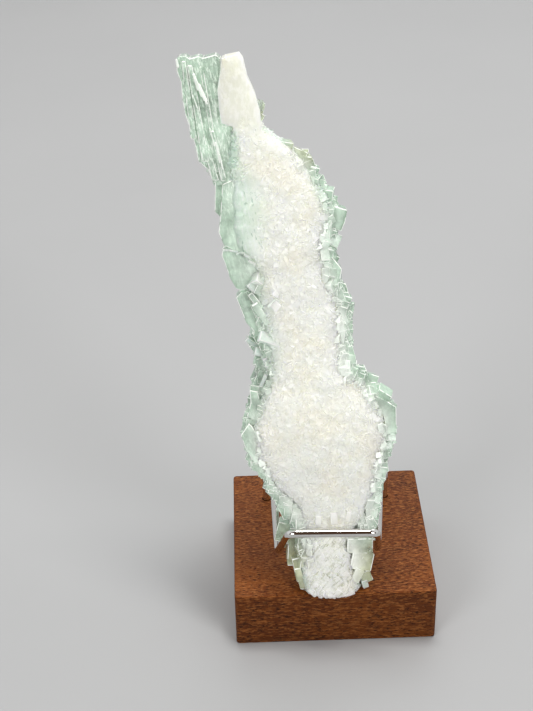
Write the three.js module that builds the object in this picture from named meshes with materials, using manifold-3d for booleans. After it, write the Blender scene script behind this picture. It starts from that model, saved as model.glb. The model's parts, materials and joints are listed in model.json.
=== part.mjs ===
// A plate of halite crystals standing on its display stand: a hardwood block, one bent wire and the mineral.
// Millimetres. X runs to the right, Y away from the front, Z up; the origin is the centre of the underside.

import * as THREE from 'three';
import { mergeVertices } from 'three/addons/utils/BufferGeometryUtils.js';
import Module from 'manifold-3d';

const wasm = await Module();
wasm.setup();

// ---------------------------------------------------------------- driving dimensions

const GAP = 0.3; // air left between pieces that touch

const BLOCK = { side: 70, height: 21.5, cornerRadius: 1.2, ease: 0.5 };

const WIRE = { radius: 1.45, sides: 10, steps: 100 };
const BORE = { radius: WIRE.radius + GAP, depth: 12, sides: 16 };

// Corners of the bent wire, from the bottom of the left leg round the front to the right leg: x, y, z and how
// far before and after the corner its bend reaches.
const LEG_FOOT_Z = BLOCK.height - BORE.depth + GAP;
const WIRE_CORNERS = [
  [-22.5, 20, LEG_FOOT_Z, 0],
  [-22.5, 20, 54, 7],
  [-20.3, -8.6, 60, 7],
  [-19.3, -17.8, 27.2, 3],
  [-15.6, -33, 47.3, 2.6],
  [13.6, -33, 46.5, 2.6],
  [15.7, -18.6, 27.6, 3],
  [16.7, -8.6, 60, 7],
  [21.6, 19.4, 54, 7],
  [21.6, 19.4, LEG_FOOT_Z, 0],
];

// The mineral is a plate that leans back. Its own axes are x across, y towards the back and z up the plate.
const LEAN = THREE.MathUtils.degToRad(15);
const PLATE_FOOT = [0, -30, 22.5];

// Core of the plate, from foot to top: height up the plate, left edge, right edge, front face, back face.
const CORE = [
  [-3, -8, 7, -6.5, 6],
  [6, -11.5, 9.5, -6.2, 6.5],
  [15, -11.5, 9.5, -5.6, 7],
  [25, -12.5, 10, -5.4, 7.4],
  [36, -18, 13, -7, 7.4],
  [46, -25, 15.5, -9, 7.2],
  [56, -27, 17, -10, 7.2],
  [66, -25, 14.5, -10, 7],
  [76, -22, 9.5, -9, 6.6],
  [88, -21, 4.5, -8.4, 6.4],
  [98, -22.5, 4.5, -8.2, 6.4],
  [108, -27, 1.5, -8.2, 6.2],
  [120, -29, -1, -8, 6],
  [131, -29, -0.5, -7.6, 6],
  [141, -30, -4.5, -7, 5.8],
  [151, -34, -10.5, -6.4, 5.6],
  [160, -37, -22.5, -5.6, 5.4],
];
const CORE_SIDES = 16;
const CORE_SQUARENESS = 0.75; // 1 is an ellipse, smaller is boxier

// Rim where the clear cubes grow, from foot to top: height up the plate, left outer edge, right outer edge.
const RIM = [
  [0, -11, 11],
  [7, -14, 12],
  [15, -13, 12],
  [25, -15, 13],
  [36, -22, 16],
  [46, -28.5, 19],
  [54, -30.5, 21],
  [62, -30, 21],
  [70, -27.5, 15.5],
  [78, -25.5, 8],
  [88, -25.5, 6.5],
  [97, -28, 8],
  [107, -30.5, 4],
  [118, -35, 1.5],
  [131, -36.5, 4.5],
  [140, -36, -1],
  [150, -40.5, -8],
];
const RIM_PITCH = 4.8; // distance between neighbouring rim cubes
const RIM_CUBE = { small: 4.2, large: 8 };
const BACK_CUBE = { small: 6, large: 10 };
const BACK_PITCH = 11.5;
const FRONT_CUBE = { small: 3.5, large: 5.5 };
const FRONT_PITCH = 13;

// Crystals that stand out from the cubes: an outline of x and z corners, cut from y = front to y = back.
const PRISMS = [
  { // green prism at the top left, with a broken end
    front: -5,
    back: 5.5,
    outline: [
      [-46.6, 181], [-46.5, 176], [-45.2, 167], [-43.2, 158], [-40, 150],
      [-31, 150], [-32, 180.6], [-39.8, 180.2], [-40.6, 181.4],
    ],
  },
  { // milky prism beside it, with a flat front
    front: -5.8,
    back: 5,
    outline: [[-32.6, 180.5], [-27, 181.4], [-24.8, 174], [-21.6, 164], [-20.6, 156], [-30, 150], [-33, 160]],
  },
  { // tilted prism on the lower left
    front: -4,
    back: 2,
    outline: [[-31, 103.8], [-27.6, 105.6], [-20.5, 93], [-24.4, 90.5]],
  },
  { // large cube on the right
    front: -3,
    back: 4,
    outline: [[-1, 132.5], [5.6, 131.5], [5, 126], [-1, 125]],
  },
  { // small crystal on the right of the milky prism
    front: -3,
    back: 2,
    outline: [[-24, 164.5], [-20, 165.2], [-19, 162.6], [-22.5, 160]],
  },
  { // clear crystals beside the foot, left and right
    front: 2.5,
    back: 7.5,
    outline: [[-16.3, 18], [-13, 20], [-9, 8], [-15.4, 9.5]],
  },
  {
    front: -4,
    back: 1,
    outline: [[6, 5], [13, 5.5], [12, -1.4], [6, -2]],
  },
];

// ---------------------------------------------------------------- helpers

function seededRandom(seed) {
  let state = seed;
  return () => {
    state = (state * 1664525 + 1013904223) % 4294967296;
    return state / 4294967296;
  };
}

function solidFrom(geometry) {
  const bare = geometry.index ? geometry.clone() : mergeVertices(geometry);
  bare.deleteAttribute('normal');
  bare.deleteAttribute('uv');
  const merged = mergeVertices(bare, 1e-4);
  return new wasm.Manifold(new wasm.Mesh({
    numProp: 3,
    vertProperties: new Float32Array(merged.attributes.position.array),
    triVerts: new Uint32Array(merged.index.array),
  }));
}

function geometryFrom(solid) {
  const mesh = solid.getMesh();
  const geometry = new THREE.BufferGeometry();
  geometry.setAttribute('position', new THREE.BufferAttribute(new Float32Array(mesh.vertProperties), 3));
  geometry.setIndex(new THREE.BufferAttribute(new Uint32Array(mesh.triVerts), 1));
  geometry.computeVertexNormals();
  return geometry;
}

function valueAt(rows, height, column) {
  if (height <= rows[0][0]) return rows[0][column];
  const upper = rows.findIndex((row) => row[0] >= height);
  if (upper < 0) return rows[rows.length - 1][column];
  const [low, high] = [rows[upper - 1], rows[upper]];
  return THREE.MathUtils.mapLinear(height, low[0], high[0], low[column], high[column]);
}

function namedMesh(name, geometry, colour, roughness, metalness) {
  const material = new THREE.MeshStandardMaterial({ color: colour, roughness, metalness });
  const mesh = new THREE.Mesh(geometry, material);
  mesh.name = name;
  return mesh;
}

// ---------------------------------------------------------------- wood block

function blockOutline() {
  const half = BLOCK.side / 2;
  const inner = half - BLOCK.cornerRadius;
  const outline = new THREE.Shape();
  outline.absarc(inner, inner, BLOCK.cornerRadius, 0, Math.PI / 2);
  outline.absarc(-inner, inner, BLOCK.cornerRadius, Math.PI / 2, Math.PI);
  outline.absarc(-inner, -inner, BLOCK.cornerRadius, Math.PI, Math.PI * 1.5);
  outline.absarc(inner, -inner, BLOCK.cornerRadius, Math.PI * 1.5, Math.PI * 2);
  return outline;
}

function boreSolid([x, y]) {
  const bore = new THREE.CylinderGeometry(BORE.radius, BORE.radius, BORE.depth * 2, BORE.sides);
  bore.rotateX(Math.PI / 2);
  bore.translate(x, y, BLOCK.height);
  return solidFrom(bore);
}

function woodBlock() {
  const body = new THREE.ExtrudeGeometry(blockOutline(), {
    depth: BLOCK.height - 2 * BLOCK.ease,
    curveSegments: 3,
    bevelThickness: BLOCK.ease,
    bevelSize: BLOCK.ease,
    bevelOffset: -BLOCK.ease,
    bevelSegments: 1,
  });
  body.translate(0, 0, BLOCK.ease);
  const leftLeg = WIRE_CORNERS[0];
  const rightLeg = WIRE_CORNERS[WIRE_CORNERS.length - 1];
  const bored = solidFrom(body).subtract(boreSolid(leftLeg)).subtract(boreSolid(rightLeg));
  return namedMesh('wood_block', geometryFrom(bored), 0x6e3a22, 0.5, 0);
}

// ---------------------------------------------------------------- wire easel

// Straight runs joined by round bends at every inner corner.
function bentPath(corners) {
  const points = corners.map(([x, y, z]) => new THREE.Vector3(x, y, z));
  const path = new THREE.CurvePath();
  let start = points[0];
  for (let i = 1; i < points.length - 1; i += 1) {
    const corner = points[i];
    const bend = corners[i][3];
    const before = corner.clone().sub(points[i - 1]).setLength(-bend).add(corner);
    const after = points[i + 1].clone().sub(corner).setLength(bend).add(corner);
    path.add(new THREE.LineCurve3(start, before));
    path.add(new THREE.QuadraticBezierCurve3(before, corner, after));
    start = after;
  }
  path.add(new THREE.LineCurve3(start, points[points.length - 1]));
  return path;
}

function wireEasel() {
  const section = new THREE.Shape();
  section.absarc(0, 0, WIRE.radius, 0, Math.PI * 2);
  const geometry = new THREE.ExtrudeGeometry(section, {
    steps: WIRE.steps,
    curveSegments: WIRE.sides / 2,
    bevelEnabled: false,
    extrudePath: bentPath(WIRE_CORNERS),
  });
  return namedMesh('wire_easel', geometry, 0xd8dade, 0.12, 1);
}

// ---------------------------------------------------------------- halite specimen

function coreRing([height, left, right, front, back]) {
  const ring = [];
  for (let i = 0; i < CORE_SIDES; i += 1) {
    const angle = (i / CORE_SIDES) * Math.PI * 2;
    const across = Math.sign(Math.cos(angle)) * Math.abs(Math.cos(angle)) ** CORE_SQUARENESS;
    const deep = Math.sign(Math.sin(angle)) * Math.abs(Math.sin(angle)) ** CORE_SQUARENESS;
    ring.push(
      (left + right) / 2 + (across * (right - left)) / 2,
      deep > 0 ? deep * back : -deep * front,
      height,
    );
  }
  return ring;
}

function coreSolid() {
  const positions = CORE.flatMap(coreRing);
  const indices = [];
  for (let row = 0; row < CORE.length - 1; row += 1) {
    for (let i = 0; i < CORE_SIDES; i += 1) {
      const next = (i + 1) % CORE_SIDES;
      const [a, b] = [row * CORE_SIDES + i, row * CORE_SIDES + next];
      const [c, d] = [a + CORE_SIDES, b + CORE_SIDES];
      indices.push(a, b, d, a, d, c);
    }
  }
  const top = (CORE.length - 1) * CORE_SIDES;
  for (let i = 1; i < CORE_SIDES - 1; i += 1) {
    indices.push(0, i + 1, i);
    indices.push(top, top + i, top + i + 1);
  }
  const geometry = new THREE.BufferGeometry();
  geometry.setAttribute('position', new THREE.Float32BufferAttribute(positions, 3));
  geometry.setIndex(indices);
  return solidFrom(geometry);
}

function prismSolid({ outline, front, back }) {
  const shape = new THREE.Shape(outline.map(([x, z]) => new THREE.Vector2(x, z)));
  const prism = new THREE.ExtrudeGeometry(shape, { depth: back - front, bevelEnabled: false });
  prism.rotateX(Math.PI / 2);
  prism.translate(0, back, 0);
  return solidFrom(prism);
}

function boxSolid(centre, size, turns) {
  const box = new THREE.BoxGeometry(...size);
  box.applyMatrix4(new THREE.Matrix4().makeRotationFromEuler(new THREE.Euler(...turns)));
  box.translate(...centre);
  return solidFrom(box);
}

// Centre line of the wire in the plate's own axes, as points close enough to measure from.
function wirePointsOnPlate() {
  const toPlate = new THREE.Matrix4().makeRotationX(-LEAN).setPosition(...PLATE_FOOT).invert();
  const path = bentPath(WIRE_CORNERS);
  return path.getSpacedPoints(WIRE.steps * 3).map((point) => point.applyMatrix4(toPlate));
}

function specimenSolid() {
  const random = seededRandom(29);
  const between = (low, high) => low + (high - low) * random();
  const wirePoints = wirePointsOnPlate();
  const clearOfWire = (centre, reach) => {
    const middle = new THREE.Vector3(...centre);
    return wirePoints.every((point) => point.distanceTo(middle) > reach + WIRE.radius + GAP);
  };
  const heightOverBlock = (centre, reach) => {
    const rise = centre[2] * Math.cos(LEAN) - centre[1] * Math.sin(LEAN);
    return PLATE_FOOT[2] + rise - reach - BLOCK.height;
  };
  let solid = coreSolid();

  const growCube = (centre, size, tilt) => {
    const reach = (size * Math.sqrt(3)) / 2;
    const turns = [between(-tilt, tilt), between(-0.7, 0.7), between(-tilt, tilt)];
    if (!clearOfWire(centre, reach) || heightOverBlock(centre, reach) < GAP) return;
    solid = solid.add(boxSolid(centre, [size, size, size], turns));
  };

  const rimTop = RIM[RIM.length - 1][0];
  for (let height = 2; height < rimTop; height += RIM_PITCH) {
    for (const side of [1, 2]) {
      const inward = side === 1 ? 1 : -1;
      const size = between(RIM_CUBE.small, RIM_CUBE.large);
      const edge = valueAt(RIM, height, side) + inward * size * 0.55;
      growCube([edge, between(-3, 3), height + between(-1, 1)], size, 0.35);
    }
  }

  const coreTop = CORE[CORE.length - 1][0];
  for (let height = 12; height < coreTop; height += BACK_PITCH) {
    const [left, right] = [valueAt(RIM, height, 1) + 7, valueAt(RIM, height, 2) - 5];
    for (let across = left; across < right; across += BACK_PITCH) {
      const size = between(BACK_CUBE.small, BACK_CUBE.large);
      const depth = valueAt(CORE, height, 4) - size * 0.3;
      growCube([across + between(-2, 2), depth, height + between(-2, 2)], size, 0.4);
    }
  }

  for (let height = 34; height < coreTop - 8; height += FRONT_PITCH) {
    const [left, right] = [valueAt(CORE, height, 1) + 6, valueAt(CORE, height, 2) - 4];
    for (let across = left; across < right; across += FRONT_PITCH) {
      const size = between(FRONT_CUBE.small, FRONT_CUBE.large);
      const depth = valueAt(CORE, height, 3) + size * 0.25;
      growCube([across + between(-2, 2), depth, height + between(-2, 2)], size, 0.6);
    }
  }

  return PRISMS.reduce((grown, prism) => grown.add(prismSolid(prism)), solid);
}

// What the foot of the plate may not enter: the block with a little air over it, in the plate's own axes.
function blockOnPlate() {
  const reach = 40;
  const keepOut = new THREE.BoxGeometry(BLOCK.side * 2, BLOCK.side * 2, reach);
  keepOut.translate(0, 0, BLOCK.height + GAP - reach / 2);
  keepOut.applyMatrix4(new THREE.Matrix4().makeRotationX(-LEAN).setPosition(...PLATE_FOOT).invert());
  return solidFrom(keepOut);
}

function haliteSpecimen() {
  const solid = specimenSolid().subtract(blockOnPlate());
  const mesh = namedMesh('halite_specimen', geometryFrom(solid), 0xdfe9e0, 0.15, 0);
  mesh.rotation.x = -LEAN;
  mesh.position.set(...PLATE_FOOT);
  return mesh;
}

// ---------------------------------------------------------------- the assembly

const specimenOnStand = new THREE.Group();
specimenOnStand.add(woodBlock(), wireEasel(), haliteSpecimen());

export default specimenOnStand;
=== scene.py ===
"""A plate of halite crystals on its display stand: hardwood block, bent chrome wire and the mineral.

Metres throughout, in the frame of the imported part: X to the right, Y away, Z up, origin under the block.
Sizes that are easier to read in millimetres are multiplied by MM where they are used.
"""

import json
import math
import random

import bmesh
import bpy
import numpy as np
from mathutils import Matrix, Vector, noise

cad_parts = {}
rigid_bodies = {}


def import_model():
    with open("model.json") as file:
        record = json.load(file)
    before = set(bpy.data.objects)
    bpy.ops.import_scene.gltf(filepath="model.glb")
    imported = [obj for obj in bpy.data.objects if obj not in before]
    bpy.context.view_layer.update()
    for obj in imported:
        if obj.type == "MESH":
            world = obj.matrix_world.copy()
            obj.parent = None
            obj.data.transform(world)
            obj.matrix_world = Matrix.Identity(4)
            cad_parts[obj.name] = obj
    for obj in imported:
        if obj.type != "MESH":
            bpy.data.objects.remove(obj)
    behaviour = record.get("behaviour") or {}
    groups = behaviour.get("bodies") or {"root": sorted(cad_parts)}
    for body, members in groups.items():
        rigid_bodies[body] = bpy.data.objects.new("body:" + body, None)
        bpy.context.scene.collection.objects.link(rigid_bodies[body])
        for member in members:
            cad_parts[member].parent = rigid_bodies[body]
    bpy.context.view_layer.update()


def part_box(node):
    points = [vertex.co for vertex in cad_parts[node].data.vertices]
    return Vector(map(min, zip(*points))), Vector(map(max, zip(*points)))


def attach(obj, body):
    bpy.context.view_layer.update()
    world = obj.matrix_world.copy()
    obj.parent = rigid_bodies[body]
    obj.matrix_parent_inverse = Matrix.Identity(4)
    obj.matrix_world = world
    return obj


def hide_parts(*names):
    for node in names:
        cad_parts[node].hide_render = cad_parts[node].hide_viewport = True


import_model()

MM = 0.001
IN_MM = Matrix.Diagonal((MM, MM, MM, 1))
ROOT = "root"

# ------------------------------------------------------------------ sizes and places, in millimetres

BLOCK_LOW, BLOCK_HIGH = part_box("wood_block")
BLOCK_CORNER_RADIUS = 1.2
BLOCK_EASE = 0.6
BORE_RADIUS = 1.75
BORE_DEPTH = 12

FOOT_GAP = 0.3

WIRE_RADIUS = 1.45
WIRE_SIDES = 28
WIRE_END_Z = 9.8
# Corners of the bent wire from the left leg round the front to the right leg: x, y, z and reach of the bend.
WIRE_CORNERS = [
    (-22.5, 20, WIRE_END_Z, 0),
    (-22.5, 20, 54, 7),
    (-20.3, -8.6, 60, 7),
    (-19.3, -17.8, 27.2, 3),
    (-15.6, -33, 47.3, 2.6),
    (13.6, -33, 46.5, 2.6),
    (15.7, -18.6, 27.6, 3),
    (16.7, -8.6, 60, 7),
    (21.6, 19.4, 54, 7),
    (21.6, 19.4, WIRE_END_Z, 0),
]

# The mineral is a plate that leans back. Its own axes: x across, y towards the back, z up the plate.
LEAN = math.radians(15)
PLATE_FOOT = Vector((0, -30, 22.5)) * MM
PLATE = Matrix.Translation(PLATE_FOOT) @ Matrix.Rotation(-LEAN, 4, "X")

# Milky core, foot to top: height up the plate, left edge, right edge, front face, back face and how round
# the section is, from 0.4 for a slab to 1 for an ellipse.
CORE = np.array([
    (-6, -7, 5, -6, 6, 0.8),
    (-2, -9.5, 7, -6.6, 6, 0.8),
    (2, -11.2, 8, -6.7, 6.2, 0.8),
    (8, -11.4, 6, -6.4, 6.5, 0.8),
    (15, -10.8, 4.2, -5.8, 7, 0.8),
    (25, -11, 8.6, -5.6, 7.4, 0.8),
    (31, -12.8, 12.2, -6.2, 7.4, 0.8),
    (36, -18, 13.5, -7, 7.4, 0.8),
    (46, -25, 16.2, -9, 7.2, 0.8),
    (56, -27, 18, -10, 7.2, 0.8),
    (66, -25, 15.4, -10, 7, 0.8),
    (76, -22.4, 9.2, -9, 6.6, 0.8),
    (88, -22.6, 4.3, -8.4, 6.4, 0.8),
    (98, -24.6, 4.6, -8.2, 6.4, 0.8),
    (105, -25, 2.6, -8.2, 6.3, 0.8),
    (114, -25.2, -0.4, -8.1, 6, 0.75),
    (120, -30.4, -0.8, -8, 6, 0.6),
    (126, -32.4, 0, -7.8, 6, 0.55),
    (134, -32.8, 0.2, -7.4, 6, 0.55),
    (141, -33.0, -4, -7, 5.8, 0.6),
    (146, -32.6, -7.4, -6.7, 5.7, 0.65),
    (151, -32.4, -10.8, -6.5, 5.6, 0.7),
    (157, -31.6, -19, -6.2, 5.2, 0.7),
    (161, -28.8, -21.8, -5.6, 4.4, 0.6),
    (165, -28.0, -22.8, -5.2, 4, 0.6),
])
# The smooth pale slab on the core's left: its right edge, lowest and highest place.
PALE_SLAB = (-22.5, 118, 143)
RIM_START = 10
RIM_END = 152
CRYSTAL_REACH = 5  # how far in from the edge small crystals sit on the core
RIM_STEP = 1.1  # between the rows of small crystals
LEFT_SMOOTH_FROM = 106  # above these the edge is slabs and plates, with few small crystals
RIGHT_SMOOTH_FROM = 134
RIGHT_END = 149  # no small crystals on the right above this
MANY, FEW = 7, 2  # small crystals in one row of an edge
BACK_STEPS = (5.6, 5.4)  # between the cubes of the back, up and across
SUGAR_FACING = 0.45  # how far towards the back the sugary grains reach round the core
STREAK_TAPER = 0.7  # how wide a blade's top is beside its foot
MILKY_CHAMFER, CLEAR_CHAMFER = 0.06, 0.045  # as a share of a crystal's size
PRISM_EASE, SLAB_EASE = 0.12, 0.26
FOOT_CRYSTALS = 46
# Where the fibres of the broken green prism may reach: up the plate, to its left edge (heights, then x) and
# to the right.
GREEN_PRISM = (141.5, 180)
GREEN_PRISM_LEFT = ([141, 149, 158, 181], [-36, -41, -42.6, -45.6])
GREEN_PRISM_RIGHT = -33.6
PRISM_FIBRES = 150
VEIL_THICKNESS = 0.12
# Where the looks change: heights up the plate, x across it and depths into it.
FIBROUS_FOOT_BELOW = 22
OLIVE_BELOW = 20
CLOUDY_BELOW = 156
PRISM_FROM = 156
GREEN_BELOW = 160
GREEN_PATCH = (-26.5, 143)  # left of and above
BEIGE_STRIP = (-31, 1.7, 157)  # its middle, half its width and its foot
FIBROUS_PRISM = (-24, 138)  # left of and above
GLASSY_PRISM = (-39.5, 158)  # right of and above
# Painted glare: the crust is painted white where it stands in front of this depth, left of this x and above
# this height.
STREAKS = (-30, 142, -6.0)  # left of, above and in front of
# Olive crystals above the foot, each group as its x, height, reach and strength.
OLIVE_GROUPS = [(-21, 163, 4.5, 1), (-9, 150, 7, 0.8)]

# Milky prism at the top, as its front face, its back face and its outline of x and height.
MILKY_PRISMS = [(-6.0, 4.5, [
    (-32.6, 180.2), (-31.4, 180.7), (-27.2, 181.4), (-26, 179.8), (-24.8, 174), (-22.6, 168.8),
    (-21.3, 164), (-21, 158), (-19.5, 156), (-22, 154.5), (-27.6, 156.4), (-28.6, 158.8),
    (-33.3, 160.6), (-33.8, 164), (-34.2, 171), (-33.2, 176),
])]

# Clear prisms and slabs, in the same way.
SLABS = [
    # broken green prism at the top left
    (-4.8, 5.2, [
        (-46.5, 180.2), (-45.6, 181.2), (-43.6, 181.3), (-42.4, 180.4), (-39.8, 181.1), (-38.2, 180.5),
        (-34.4, 181.4), (-32.9, 180.2), (-32.6, 172), (-30, 150), (-31, 141.2), (-35.6, 140.8),
        (-36.8, 142.8), (-38.1, 146), (-39.7, 147.6), (-41.1, 148.9), (-41.8, 153.6), (-42.9, 158.2),
        (-44.4, 163), (-45.2, 168), (-45.4, 173.6), (-46.5, 176.6),
    ]),
    # strip and pale slab beside the core
    (-3.4, 3.0, [(-36.1, 141.9), (-33.2, 141.9), (-32.9, 130), (-34.3, 130), (-36.6, 132.6)]),
    (-5.7, 3.2, [
        (-33.8, 141.5), (-29.4, 143.3), (-25, 143.1), (-22, 118.3), (-29.6, 119.5), (-34, 121.9),
        (-35.6, 126.2), (-35, 129.4),
    ]),
    # green patch under the milky prism
    (-4.9, 3.4, [
        (-33.4, 159.6), (-29.5, 159.8), (-28.4, 155), (-29.4, 149), (-30.4, 142.4), (-34, 142),
    ]),
    # deep green slab
    (-4.3, 4.0, [
        (-34.9, 118.2), (-34.3, 121.2), (-32.4, 121.5), (-30.2, 120.2), (-28, 121), (-25.2, 118.8),
        (-23.3, 115.8), (-22.1, 112.5), (-24.2, 109.9), (-26.2, 107.7), (-28.4, 106.7), (-30.5, 107.1),
        (-32.5, 110.8), (-34.2, 116.5),
    ]),
    # tilted prisms below it
    (-3.8, 2.0, [
        (-30.8, 104.2), (-29.1, 105.8), (-27.5, 106.1), (-22.6, 96.9), (-20.8, 91.8), (-22.8, 90.5),
        (-24.4, 91.5), (-27.8, 95.7),
    ]),
    (-5.9, 0.0, [
        (-26.9, 105.3), (-25.6, 106.3), (-21.2, 100.5), (-17.8, 94.7), (-19.1, 93.7), (-22.6, 97.8),
    ]),
    # slabs along the lower left edge
    (-4.6, 3.0, [
        (-30.8, 57.1), (-28, 61.2), (-27, 60.1), (-23.8, 54.3), (-23.4, 46.4), (-26.5, 46.9), (-29.3, 52),
    ]),
    (-2.0, 2.6, [
        (-29.6, 47.5), (-26, 48), (-20, 36.2), (-15.1, 25.3), (-17.3, 24.9), (-21.3, 34.7), (-24.2, 41.4),
    ]),
    (-4.0, 2.6, [(-28.6, 63.4), (-27.2, 68.2), (-27.4, 72.6), (-24.8, 72), (-23.6, 66), (-25.4, 61.6)]),
    # plate on the right shoulder of the foot
    (-4.4, 3.0, [
        (13.8, 69.6), (17.8, 67.4), (20.9, 65.2), (21, 56.4), (17.8, 55.6), (16.8, 62), (13.2, 66),
    ]),
    # large cube and plate on the right
    (-3.4, 3.2, [(1.4, 133), (5.5, 131.6), (4.8, 127.8), (3.6, 124.8), (0, 125.7)]),
    (-4.6, 0.5, [(-1.5, 116.2), (0.2, 117.1), (3.5, 112.7), (2.6, 108.4), (-0.3, 107.9), (-2.2, 112.2)]),
]

# Rim of clear cubes, foot to top: height up the plate, left outer edge, right outer edge, and how far in
# the green and the crystals reach on the left and on the right.
RIM = np.array([
    (0, -11, 10, 4, 5),
    (7, -13, 11, 4, 5),
    (15, -13, 12, 4, 5),
    (22, -14, 14.5, 4, 5),
    (30, -18.6, 16.3, 5, 5),
    (36, -22, 16.5, 5, 5),
    (41, -24.5, 18, 5, 5),
    (46, -28.5, 19, 6, 5),
    (54, -30.5, 21, 6, 6),
    (62, -30, 21, 8, 6),
    (68, -27.5, 17, 8, 5.5),
    (73, -27, 14, 9, 5),
    (78, -25.5, 8, 11, 4.5),
    (88, -25.5, 6.5, 12, 4.5),
    (97, -27, 7.5, 12, 5),
    (107, -29.5, 4, 12, 6),
    (118, -34, 1.5, 17, 7),
    (131, -35, 4, 21, 9),
    (140, -35, -1, 20, 7),
    (147, -39, -5.5, 18, 4),
    (152, -41, -10, 15, 3),
    (155, -42, -15, 15, 2.5),
    (159, -42.8, -20.4, 15, 3),
    (166, -44.4, -21.6, 15, 3),
    (180, -46, -27, 15, 3),
])

LEFT, RIGHT = 0, 1  # the outer edges among the values at a height; the reaches stand two further on
CORE_BACK = 3  # the back face among the core's values at a height

# Crystals with a place of their own: centre, size and turns about x, y and z in degrees.
LARGE_CRYSTALS = [
    # short crystals over the tilted prisms on the left
    ((-21.8, -4.6, 98.0), (2.2, 4.0, 11.0), (2, -33, -8)),
    ((-22.4, -3.4, 108.4), (4.4, 5.4, 6.4), (12, 25, 18)),
    ((-18.6, -6.0, 102.8), (3.0, 3.6, 4.0), (20, 35, 25)),
    ((-25.2, 0.2, 87.2), (3.4, 5.0, 3.2), (10, -35, 5)),
    ((-21.4, -2.2, 86.0), (4.6, 5.0, 7.0), (-8, -18, 12)),
    # right side, from the top down
    ((-13.8, -1.6, 152.6), (4.6, 4.4, 3.0), (8, 12, 10)),
    ((-9.6, -0.6, 149.6), (5.6, 4.6, 3.2), (-6, 24, -8)),
    ((-7.6, -1.0, 146.6), (3.0, 4.6, 5.8), (10, 8, 14)),
    ((-11.4, -3.6, 148.8), (6.4, 2.4, 1.6), (-14, 34, 6)),
    ((-10.6, -4.2, 146.2), (6.0, 2.2, 1.4), (-12, 42, 4)),
    ((-6.2, -2.2, 142.8), (3.6, 3.4, 4.0), (6, -14, 10)),
    ((-3.6, -1.0, 139.9), (3.4, 4.2, 3.4), (-6, 20, 4)),
    ((-0.6, -0.6, 136.4), (4.0, 4.6, 4.2), (8, 8, -10)),
    ((0.9, -0.8, 121.6), (3.6, 5.0, 4.4), (-12, 30, 10)),
    ((3.0, 0.2, 104.0), (4.6, 5.2, 5.4), (-6, -15, 10)),
    ((4.0, 0.0, 97.8), (5.0, 5.2, 5.0), (6, 44, -8)),
    ((4.3, -0.4, 91.8), (4.0, 5.2, 4.4), (-8, 20, 6)),
    ((4.4, -0.2, 85.4), (3.4, 5.4, 8.0), (0, 12, -6)),
    ((8.6, -0.6, 75.4), (6.0, 5.4, 4.6), (6, -12, 4)),
    ((12.4, 0.2, 73.4), (4.0, 5.4, 4.8), (-6, 22, 10)),
    ((16.6, 0.0, 68.0), (5.2, 5.6, 5.2), (8, 34, -6)),
    ((18.4, 0.4, 62.6), (4.4, 6.0, 5.8), (0, 6, 12)),
    ((18.0, 0.0, 56.6), (5.2, 5.4, 5.2), (-8, -16, 6)),
    ((-22.0, -0.6, 164.4), (3.4, 3.8, 4.4), (10, 14, 15)),
    ((-21.4, -0.4, 161.4), (2.6, 3.6, 2.8), (-8, 34, -10)),
    # beside the foot
    ((-13.7, 3.0, 12.8), (5.2, 6.0, 12.0), (0, 3, 4)),
    ((-12.8, 0.6, 6.4), (3.2, 6.0, 9.0), (0, -10, 6)),
    ((-11.8, -1.6, 3.6), (2.2, 4.0, 8.0), (0, -14, -8)),
    ((-17.6, 5.0, 18.4), (4.0, 4.2, 7.6), (6, 14, -6)),
    ((8.4, -1.4, 15.4), (8.8, 5.0, 5.6), (4, 2, 3)),
    ((8.8, -1.2, 9.2), (7.6, 5.2, 6.6), (-6, 14, 8)),
    ((10.2, -1.0, 3.4), (3.8, 4.4, 4.6), (8, -20, 10)),
    ((7.6, -3.2, 4.6), (3.0, 3.6, 5.0), (-5, 24, -8)),
]

# Milky crystals with a place of their own, in the same way.
MILKY_CRYSTALS = [
    # jagged edge under the pale slab
    ((-33.2, -5.2, 120.4), (2.6, 1.6, 0.6), (10, 5, 10)),
    ((-31.0, -5.6, 120.0), (2.6, 1.6, 0.6), (-8, 12, 0)),
    ((-28.8, -5.9, 119.4), (2.8, 1.6, 0.6), (8, -10, -10)),
    ((-26.8, -6.2, 118.4), (2.4, 1.6, 0.7), (-6, 35, 6)),
    ((-25.2, -6.4, 116.4), (2.4, 1.8, 0.7), (6, 28, -8)),
    # bright facets between the green slab and the core
    ((-23.6, -5.4, 110.4), (3.2, 2.8, 3.6), (-28, 38, 34)),
    ((-25.2, -4.6, 108.4), (3.0, 2.4, 3.6), (-10, 52, 12)),
    ((-18.2, -7.6, 106.0), (2.0, 1.8, 2.0), (-20, 40, 15)),
    ((-18.0, -7.8, 102.0), (2.7, 2.2, 2.7), (-12, 44, -18)),
    # pale plates and a white cube lower on the left
    ((-20.4, -6.2, 90.4), (7.6, 2.2, 3.4), (-34, 24, 10)),
    ((-26.0, -1.6, 88.6), (4.6, 3.0, 1.6), (8, 36, 0)),
    ((-24.2, -3.0, 85.6), (2.6, 2.8, 2.8), (-12, 14, 10)),
    ((-21.8, -4.4, 81.8), (1.4, 2.6, 5.2), (10, -20, 14)),
    ((-22.6, -4.2, 76.2), (1.2, 2.4, 4.6), (6, 24, -8)),
    # short upright crystals just above the wire; their white stands in for the glints there, a painted
    # highlight
    ((-5.6, -6.0, 26.6), (2.0, 1.8, 3.4), (3, 4, -10)),
    ((-0.5, -6.1, 27.0), (2.2, 1.8, 4.2), (-3, -3, 8)),
    ((4.6, -6.0, 27.4), (1.5, 1.8, 3.6), (2, 10, -12)),
    # tip at the right of the foot
    ((10.0, -2.2, 0.6), (2.0, 2.2, 3.2), (8, -14, 15)),
]

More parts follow.
